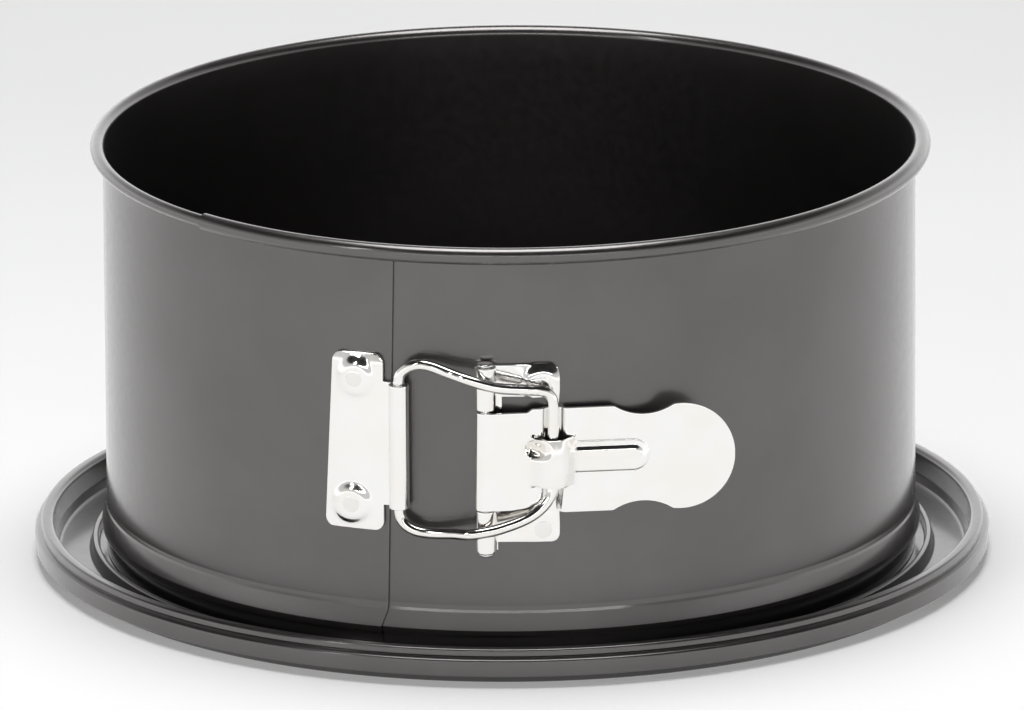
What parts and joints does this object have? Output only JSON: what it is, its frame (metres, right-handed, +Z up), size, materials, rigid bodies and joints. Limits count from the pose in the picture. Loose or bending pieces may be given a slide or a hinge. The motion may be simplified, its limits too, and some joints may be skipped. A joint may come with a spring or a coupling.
{
  "type": "springform pan",
  "caption": "Round springform cake pan: a spring-steel ring with an over-centre latch, closed around a removable base with a drip rim.",
  "frame": {"origin": "middle of the base's underside, on the surface that the pan stands on", "axes": "+Z up along the pan's axis; -Y is the front, where the latch is; +X to the right seen from the front"},
  "size_m": [0.2374, 0.2374, 0.1068],
  "materials": {
    "base_coating": "satin non-stick coating, dark grey",
    "band_coating": "satin non-stick coating, warm dark grey",
    "nickel_plate": "bright nickel plate on stamped steel",
    "nickel_wire": "bright nickel plate on round wire",
    "rivet_steel": "bright steel"
  },
  "bodies": {
    "base": {"base_plate": "base_coating"},
    "ring": {"ring_band": "band_coating", "lever_bracket": "nickel_plate", "bracket_rivet_upper": "rivet_steel", "bracket_rivet_lower": "rivet_steel", "pivot_pin": "rivet_steel"},
    "band_end": {"hinge_plate": "nickel_plate", "hinge_rivet_upper": "rivet_steel", "hinge_rivet_lower": "rivet_steel"},
    "bail": {"bail_wire": "nickel_wire"},
    "lever": {"latch_lever": "nickel_plate"}
  },
  "joints": [
    {"name": "ring_lift", "type": "slide", "parent": "base", "child": "ring", "axis": [0, 0, 1], "range_m": [0, 0.08]},
    {"name": "lever_pivot", "type": "hinge", "parent": "ring", "child": "lever", "pos_m": [-0.0063, -0.10316, 0.0536], "axis": [0, 0, -1], "range_deg": [0, 90]},
    {"name": "ring_open", "type": "hinge", "parent": "ring", "child": "band_end", "pos_m": [0, 0.1, 0.0536], "axis": [0, 0, -1], "range_deg": [0, 3.2], "deforming": ["ring_band"]},
    {"name": "bail_pivot", "type": "hinge", "parent": "band_end", "child": "bail", "pos_m": [-0.0274, -0.10007, 0.0562], "axis": [0, 0, -1], "range_deg": [0, 25.04]}
  ],
  "couplings": [
    {"joint": "ring_open", "follows": "lever_pivot", "ratio": 0.035515},
    {"joint": "bail_pivot", "follows": "lever_pivot", "ratio": 0.27822}
  ]
}
